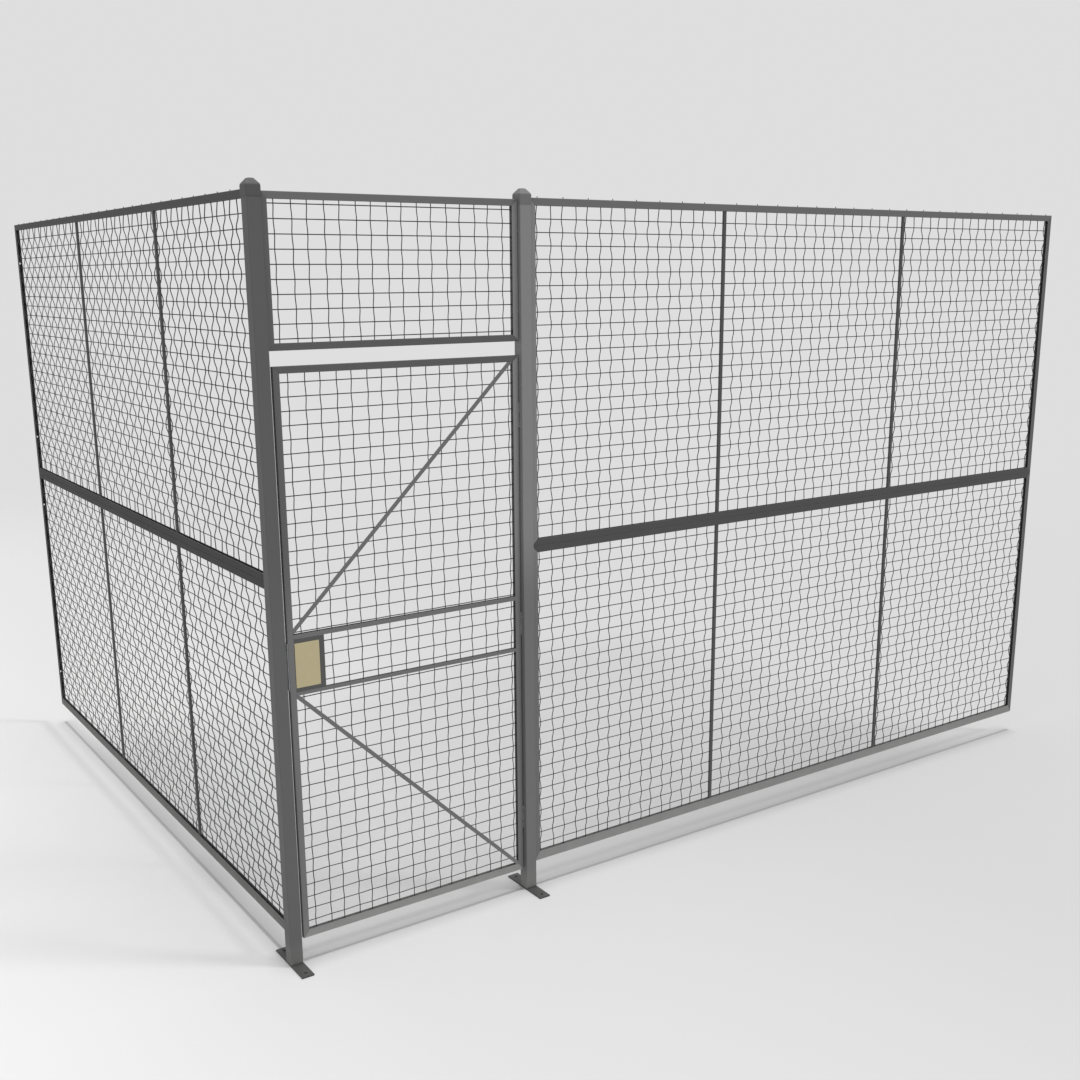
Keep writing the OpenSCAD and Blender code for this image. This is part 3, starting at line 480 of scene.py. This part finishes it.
def foot_plate(post, material):
    """A foot plate, and the welds that hold the post on it."""
    node = post + "_foot_plate"
    shape = shape_of(node)
    ease(shape, FOOT_EASE)
    low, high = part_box(post + "_post")
    for y, out in ((low[1], -1), (high[1], 1)):
        start = Vector((low[0] + WELD_STOP, y, low[2]))
        weld_bead(shape, start, Vector((high[0] - WELD_STOP, y, low[2])), out)
    finish_piece(shape, node, "partition", [material])


# ---- The frames, bars, plates and hardware ----

RAIL_HEIGHT = 0.06                       # a channel taller than this is a stile
BEHIND_CORNER = 0.01                     # only the left wall's channels start behind this Y
BESIDE_POST = 0.1                        # a stile this near to a post's middle stands beside it
DOOR_TOP = 2.03
SILL_BELOW, SEAM_LOW, SEAM_HIGH, TOP_ABOVE = 0.15, 1.2, 1.5, 2.4    # a rail's place, by its lower face
HINGE_POST_X = sum(corner[0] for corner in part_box("hinge_post")) / 2


def frame_paint(low, high):
    """Which of the frame's lit and shaded greys a channel has, from where it lies: painted light and shade by
    the channel's place and the way its wall faces.
    """
    left = low[1] > BEHIND_CORNER
    if high[2] - low[2] > RAIL_HEIGHT:
        if left:
            return LEFT_SHADED_PAINT
        if abs(low[0] - HINGE_POST_X) < BESIDE_POST:
            return HINGE_SIDE_LIT_PAINT
        return LOCK_STILE_LIT_BELOW_PAINT if low[0] < BESIDE_POST and high[2] < DOOR_TOP else STILE_PAINT
    if low[2] < SILL_BELOW:
        return LEFT_LIT_SILL_PAINT if left else LIT_SILL_PAINT
    if SEAM_LOW < low[2] < SEAM_HIGH:
        return LEFT_SHADED_SEAM_PAINT if left else SHADED_SEAM_PAINT
    if low[2] > TOP_ABOVE:
        return LEFT_SHADED_PAINT if left else TOP_PAINT
    return HEAD_PAINT


for name in ("left_lower", "left_upper", "right_lower", "right_upper"):
    eased(name + "_frame", "partition", FRAME_LIT_AND_SHADED_PAINTS, CHANNEL_EASE, frame_paint)
    eased(name + "_bars", "partition", [BAR_PAINT])
eased("transom_frame", "partition", FRAME_LIT_AND_SHADED_PAINTS, CHANNEL_EASE, frame_paint)
eased("door_frame", "door", FRAME_LIT_AND_SHADED_PAINTS, CHANNEL_EASE, frame_paint)
for name, paint, cap in (("corner", CORNER_PAINT, CORNER_CAP_PAINT), ("hinge", HINGE_SIDE_LIT_PAINT, HINGE_CAP_PAINT)):
    eased(name + "_post", "partition", [paint])
    foot_plate(name, FOOT_PAINT)
    post_cap(name + "_post_cap", cap)
for name, paint in (("upper_lock_bar", LOCK_BAR_PAINT), ("lower_lock_bar", LOCK_BAR_PAINT),
                    ("lock_box", BOX_PAINT), ("upper_brace", BRACE_PAINT), ("lower_brace", BRACE_PAINT)):
    eased(name, "door", [paint])
for name in ("outside_lock_plate", "inside_lock_plate"):
    eased(name, "door", [TAN_PAINT], PLATE_EASE)

for name in ("panel_bolts", "panel_spacers", "seam_bolts", "seam_nuts", "post_hinge_leaves", "hinge_pins"):
    eased(name, "partition", [ZINC], THIN_EASE)
for name in ("door_hinge_leaves", "lock_case", "lock_case_cover", "return_spring"):
    eased(name, "door", [ZINC], THIN_EASE)
eased("strike_plate", "partition", [DULL_ZINC], THIN_EASE)
eased("lock_forend", "door", [DULL_ZINC], THIN_EASE)
eased("latch_bolt", "latch", [DULL_ZINC], BOLT_EASE)
eased("lock_hub", "turn", [DULL_ZINC], BOLT_EASE)
eased("inside_turn", "turn", [KNOB_METAL], KNOB_EASE)


# ---- Countersunk screws with a cross recess ----

SCREW_SIDES = 24
HEAD_R, HEAD_DEPTH, SHANK_R = 0.0046, 0.0022, 0.0024
POINT_R, POINT_LENGTH = 0.0015, 0.0012
# The recess at its mouth and its bottom: how deep that lies, and half the cross's span and half its width
RECESS = ((0.0, 0.0024, 0.0006), (0.0017, 0.0014, 0.0004))
SMOOTH_BELOW = math.radians(35)          # an edge that turns less than this looks rounded


def cross_outline(span, width):
    """The twelve corners of a cross, in order."""
    arm = [(span, -width), (span, width), (width, width)]
    quarters = ((1, 0), (0, 1), (-1, 0), (0, -1))
    return [(c * y - s * z, s * y + c * z) for c, s in quarters for y, z in arm]


def screw(shape, head, tip, y, z):
    """A screw along X from the flat of its head to its tip."""
    way = 1 if tip > head else -1
    length = abs(tip - head)
    turn = [2 * math.pi * i / SCREW_SIDES for i in range(SCREW_SIDES)]
    profile = ((0.0, HEAD_R), (HEAD_DEPTH, SHANK_R), (length - POINT_LENGTH, SHANK_R), (length, POINT_R))

    def ring(depth, points):
        return [shape.verts.new((head + way * depth, y + a, z + b)) for a, b in points]

    rings = [ring(depth, [(r * math.cos(t), r * math.sin(t)) for t in turn]) for depth, r in profile]
    for one, two in zip(rings, rings[1:]):
        join_rings(shape, one, two)
    shape.faces.new(rings[-1])
    crosses = [ring(depth, cross_outline(span, width)) for depth, span, width in RECESS]
    join_rings(shape, *crosses)
    shape.faces.new(crosses[1])
    rims = [shape.edges.get((rim[i - 1], rim[i])) for rim in (rings[0], crosses[0]) for i in range(len(rim))]
    bmesh.ops.triangle_fill(shape, use_beauty=True, edges=rims)


def screws(node, body, head_first):
    """The screws of a part. head_first says that their heads lie at the lower X."""
    part, shape = shape_of(node), bmesh.new()
    for faces in islands(part):
        low, high = box_of(faces)
        head, tip = (low[0], high[0]) if head_first else (high[0], low[0])
        screw(shape, head, tip, (low[1] + high[1]) / 2, (low[2] + high[2]) / 2)
    part.free()
    bmesh.ops.recalc_face_normals(shape, faces=shape.faces)
    shape.normal_update()
    for edge in shape.edges:
        edge.smooth = edge.calc_face_angle(0) < SMOOTH_BELOW
    finish_piece(shape, node, body, [DULL_ZINC])


screws("post_hinge_screws", "partition", head_first=True)
screws("strike_screws", "partition", head_first=False)
screws("door_hinge_screws", "door", head_first=False)
screws("forend_screws", "door", head_first=True)


# ---- Woven wires ----

def even_columns(width, face, first):
    """Upright wires at their own pitch, from the first stile on."""
    room = width - 2 * face - first - 2 * WIRE_R
    count = math.floor(room / COLUMN_PITCH + ROUNDING) + 1
    return [face + first + k * COLUMN_PITCH for k in range(count)]


def paired(columns):
    """Each column's even place, and its place in loose pairs."""
    return [(x, x + (PAIRING if k % 2 else -PAIRING)) for k, x in enumerate(columns)]


def level_rows(start, end, choose):
    """Level wires at their own pitch, the lot centred. choose turns the spaces into a number of wires."""
    count = choose((end - start) / ROW_PITCH)
    first = (start + end - (count - 1) * ROW_PITCH) / 2
    return [first + j * ROW_PITCH for j in range(count)]


def side(i, j):
    """The side on which two wires pass each other, which changes at every crossing."""
    return 1 if (i + j) % 2 == 0 else -1


def wire_line(start, end, crossings, swing, end_shift=0.0):
    """(place along the wire, sideways shift) of a crimped wire. crossings holds (place, side) in order,
    and side 0 keeps the wire in the middle."""
    line = [(start, 0.0)]
    for middle, way in crossings:
        steps = ((-BEND, BEND_SHARE), (0.0, 1.0), (BEND, BEND_SHARE)) if way else ((0.0, 0.0),)
        bends = [(middle + step, way * swing * share) for step, share in steps]
        line += [bend for bend in bends if start + BEND_CLEAR < bend[0] < end - BEND_CLEAR]
    line.append((end, end_shift))
    return line


class Weave:
    """Collects wires, in a panel's own axes: x along it, y across it and z up."""

    def __init__(self):
        self.points, self.faces, self.count = [], [], 0
        turn = np.arange(WIRE_SIDES) * 2 * math.pi / WIRE_SIDES
        self.ring = WIRE_R * np.stack([np.cos(turn), np.sin(turn)], 1)

    def add(self, line, upright, cross):
        """A wire along a line. cross is its x if it is upright, or else its z: one value, or one a point."""
        line = np.array(line)
        rings = len(line)
        points = np.zeros((rings, WIRE_SIDES, 3))
        along, over = (2, 0) if upright else (0, 2)
        points[:, :, along] = line[:, 0, None]
        points[:, :, over] = np.asarray(cross)[..., None] + self.ring[:, 0]
        points[:, :, 1] = line[:, 1, None] + self.ring[None, :, 1]
        number = self.count + np.arange(rings * WIRE_SIDES).reshape(rings, WIRE_SIDES)
        turned = np.roll(number, -1, 1)
        sides = np.stack([number[:-1], turned[:-1], turned[1:], number[1:]], -1).reshape(-1, 4)
        if not upright:
            sides = sides[:, ::-1]
        self.points.append(points.reshape(-1, 3))
        self.faces += sides.tolist()
        caps = [number[0].tolist()[::-1], number[-1].tolist()]
        self.faces += caps if upright else [cap[::-1] for cap in caps]
        self.count += rings * WIRE_SIDES

    def build(self, panel, body, to_world):
        """Puts the wires into the scene, in place of the panel's mesh."""
        mesh = bpy.data.meshes.new(panel + "_wires")
        mesh.from_pydata(to_world(np.concatenate(self.points)).tolist(), [], self.faces)
        mesh.materials.append(WIRE_PAINT)
        mesh.shade_smooth()
        stand_for(put_in_scene(panel + "_wires", mesh), panel + "_mesh", body)


def along_right(start, foot):
    """Takes points of a panel that runs along +X into the scene."""
    return lambda p: p + np.array([start, 0.0, foot])


def along_left(start, foot):
    """Takes points of a panel that runs along +Y into the scene."""
    return lambda p: np.stack([-p[:, 1], start + p[:, 0], foot + p[:, 2]], 1)


def wall_wires(panel, axis, along, bars, bottom, clinched):
    """A wall panel's wires. A bar takes an upright's place, and clinched ends stand above the top rail."""
    low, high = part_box(panel + "_frame")
    width, height = high[axis] - low[axis], high[2] - low[2]
    clear = BAR_W / 2 + WIRE_R + WIRE_CLEAR
    columns = [(even, x) for even, x in paired(even_columns(width, WALL_FACE, WALL_FIRST))
        if all(abs(even - bar) > clear for bar in bars)]
    rows = level_rows(bottom, height - WALL_FACE, math.floor)
    weave = Weave()
    for i, (even, x) in enumerate(columns):
        crossings = [(z, side(i, j)) for j, z in enumerate(rows)]
        if clinched and i % 2 == 0:
            line = wire_line(WIRE_END, height + CLINCH, crossings, WALL_SWING[0], -CLINCH_SIDE)
            line.insert(-1, (height - CLINCH_BELOW, -CLINCH_SIDE))
            weave.add(line, True, [x] * (len(line) - 2) + [even] * 2)
        else:
            weave.add(wire_line(WIRE_END, height - WIRE_END, crossings, WALL_SWING[0]), True, x)
    edges = [(bar + half, 0) for bar in bars for half in (-BAR_W / 2, BAR_W / 2)]
    for j, z in enumerate(rows):
        crossings = sorted(edges + [(x, side(i, j)) for i, (even, x) in enumerate(columns)])
        weave.add(wire_line(WIRE_END, width - WIRE_END, crossings, WALL_SWING[1]), False, z)
    weave.build(panel, "partition", along(low[axis], low[2]))


def doorway_wires(panel, body, first, bottom, lock=None):
    """The wires of the transom or the door. They stop at the lock box and at the lock bars beside it."""
    low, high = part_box(panel + "_frame")
    width, height = high[0] - low[0], high[2] - low[2]
    if lock:
        lock_low, lock_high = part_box(lock)
        lock_end = lock_high[0] - low[0]
        lock_bottom, lock_top = lock_low[2] - low[2], lock_high[2] - low[2]
    columns = [x for even, x in paired(even_columns(width, DOOR_FACE, first))]
    rows = level_rows(bottom, height - DOOR_FACE, round)
    weave = Weave()
    for i, x in enumerate(columns):
        crossings = [(z, side(i, j)) for j, z in enumerate(rows)]
        runs = [(WIRE_END, height - WIRE_END)]
        if lock and x < lock_end + 2 * WIRE_R:
            runs = [(WIRE_END, lock_bottom), (lock_top, height - WIRE_END)]
        for start, end in runs:
            met = [crossing for crossing in crossings if start < crossing[0] < end]
            weave.add(wire_line(start, end, met, DOOR_SWING[0]), True, x)
    for j, z in enumerate(rows):
        beside = lock and lock_bottom - 2 * WIRE_R < z < lock_top + 2 * WIRE_R
        start = lock_end if beside else WIRE_END
        met = [(x, side(i, j)) for i, x in enumerate(columns) if x > start]
        weave.add(wire_line(start, width - WIRE_END, met, DOOR_SWING[1]), False, z)
    weave.build(panel, body, along_right(low[0], low[2]))


for wall, axis, along, bars in (("left", 1, along_left, LEFT_BARS), ("right", 0, along_right, RIGHT_BARS)):
    wall_wires(wall + "_lower", axis, along, bars, bottom=SILL_FACE, clinched=False)
    wall_wires(wall + "_upper", axis, along, bars, bottom=WALL_FACE, clinched=True)
doorway_wires("transom", "partition", TRANSOM_FIRST, bottom=DOOR_FACE)
doorway_wires("door", "door", DOOR_FIRST, bottom=KICK_FACE, lock="lock_box")


# ---- Floor, light and camera ----

FLOOR_MIDDLE, FLOOR_HALF = (1.9, 1.4, 0.0), 24.0
BACKDROP_FROM, BACKDROP_FULL = 5.0, 11.0                 # from the floor's middle
LEFT_TONE, DOOR_TONE, RIGHT_TONE = 0.7, 0.605, 0.535
LEFT_FADE, RIGHT_FADE = (-1.3, 0.4), (0.2, 2.8)          # along X; the floor's painted light fades from the palest left end towards the right
WALL_TONE, INSIDE_TONE, WALL_SHADE = 0.8, 0.92, 0.9      # painted shadow behind the walls: its tone at the wall line and further inside, and how far it reaches
SOFT_EDGE = 0.012                                        # half the width of the painted shadow's soft edge, under the walls and the door
RIGHT_END_FADE, LEFT_END_FADE = (3.1, 3.95), (2.1, 2.97)    # the painted shadow runs out towards the walls' far ends
LIGHT_LEVEL, BACKDROP_TONE = 0.56, 0.735


def floor_colour(tree, at):
    """Painted light and shadow: palest at the left, and a little darker inside the corner as painted shadow,
    most of all just behind the walls.
    """
    along, across = xyz(tree, at)[:2]
    near = mix_colour(tree, ramp(tree, along, *LEFT_FADE), grey(LEFT_TONE), grey(DOOR_TONE))
    open_floor = mix_colour(tree, ramp(tree, along, *RIGHT_FADE), near, grey(RIGHT_TONE))
    inside = math_node(tree, "MINIMUM", along, across)
    shade = ramp(tree, inside, 0.0, WALL_SHADE, WALL_TONE, INSIDE_TONE)
    beside_right = ramp(tree, along, *RIGHT_END_FADE, 1.0, 0.0)
    beside_left = ramp(tree, across, *LEFT_END_FADE, 1.0, 0.0)
    within = math_node(tree, "MULTIPLY", beside_right, beside_left)
    within = math_node(tree, "MULTIPLY", within, ramp(tree, inside, -SOFT_EDGE, SOFT_EDGE))
    painted_shadow = math_node(tree, "MULTIPLY", within, math_node(tree, "SUBTRACT", 1.0, shade))
    return shaded(tree, open_floor, math_node(tree, "SUBTRACT", 1.0, painted_shadow))


def floor():
    """A pale matt floor, which far from the partition gives way to the plain backdrop."""
    x, y, z = FLOOR_MIDDLE
    corners = [(x + a * FLOOR_HALF, y + b * FLOOR_HALF, z) for a, b in ((-1, -1), (1, -1), (1, 1), (-1, 1))]
    mesh = bpy.data.meshes.new("floor")
    mesh.from_pydata(corners, [], [(0, 1, 2, 3)])
    material, tree, shader = new_material("pale_floor")
    at = place(tree)
    tree.links.new(floor_colour(tree, at), shader.inputs["Base Color"])
    shader.inputs["Roughness"].default_value = 0.9
    shader.inputs["Specular IOR Level"].default_value = 0.1
    offset = put(tree, "ShaderNodeVectorMath", {0: at, 1: FLOOR_MIDDLE}, operation="SUBTRACT").outputs[0]
    distance = put(tree, "ShaderNodeVectorMath", {0: offset}, operation="LENGTH").outputs["Value"]
    far = ramp(tree, distance, BACKDROP_FROM, BACKDROP_FULL)
    clear = put(tree, "ShaderNodeBsdfTransparent")
    both = put(tree, "ShaderNodeMixShader", {0: far, 1: shader.outputs[0], 2: clear.outputs[0]})
    tree.links.new(both.outputs[0], tree.nodes["Material Output"].inputs["Surface"])
    mesh.materials.append(material)
    put_in_scene("floor", mesh)


def backdrop():
    """A pale backdrop to the eye and in reflections, and a lower even light on the object."""
    world = bpy.data.worlds.new("backdrop")
    scene.world = world
    world.use_nodes = True
    tree = world.node_tree
    tree.nodes.clear()
    path = put(tree, "ShaderNodeLightPath").outputs
    seen = math_node(tree, "MAXIMUM", path["Is Camera Ray"], path["Is Transmission Ray"])
    seen = math_node(tree, "MAXIMUM", seen, path["Is Glossy Ray"])
    light = put(tree, "ShaderNodeBackground", {"Color": grey(1.0), "Strength": LIGHT_LEVEL})
    picture = put(tree, "ShaderNodeBackground", {"Color": grey(BACKDROP_TONE), "Strength": 1.0})
    both = put(tree, "ShaderNodeMixShader", {0: seen, 1: light.outputs[0], 2: picture.outputs[0]})
    tree.links.new(both.outputs[0], put(tree, "ShaderNodeOutputWorld").inputs["Surface"])


def lamp(name, towards, strength, angle):
    """A distant lamp that shines along a direction. A wider angle makes its shadows softer."""
    data = bpy.data.lights.new(name, "SUN")
    data.energy = strength
    data.angle = math.radians(angle)
    put_in_scene(name, data).rotation_euler = Vector(towards).to_track_quat("-Z", "Y").to_euler()


def camera():
    """The photograph's camera: its place and angles, and its focus, width and middle in pixels."""
    eye = (-1.49909, -3.68654, 2.27775)
    azimuth, fall, roll = math.radians(34.435), math.radians(13.455), math.radians(0.414)
    focus, width, middle = 1259.61, 1080.0, 578.45
    film, view_end = 36.0, 200.0
    ahead = Vector((math.sin(azimuth) * math.cos(fall), math.cos(azimuth) * math.cos(fall), -math.sin(fall)))
    right = Vector((math.cos(azimuth), -math.sin(azimuth), 0.0))
    down = ahead.cross(right)
    across = math.cos(roll) * right + math.sin(roll) * down
    drop = math.cos(roll) * down - math.sin(roll) * right
    data = bpy.data.cameras.new("camera")
    data.sensor_width = film
    data.lens = film * focus / width
    data.shift_y = (middle - width / 2) / width
    data.clip_end = view_end
    made = put_in_scene("camera", data)
    made.matrix_world = Matrix.Translation(eye) @ Matrix((across, -drop, -ahead)).transposed().to_4x4()
    scene.camera = made


floor()
backdrop()
lamp("key_lamp", (-0.775, 0.632, -1.0), strength=0.8, angle=10.0)
lamp("ceiling_lamp", (0.0, 0.0, -1.0), strength=1.9, angle=3.5)
camera()
scene.view_settings.view_transform = "Standard"
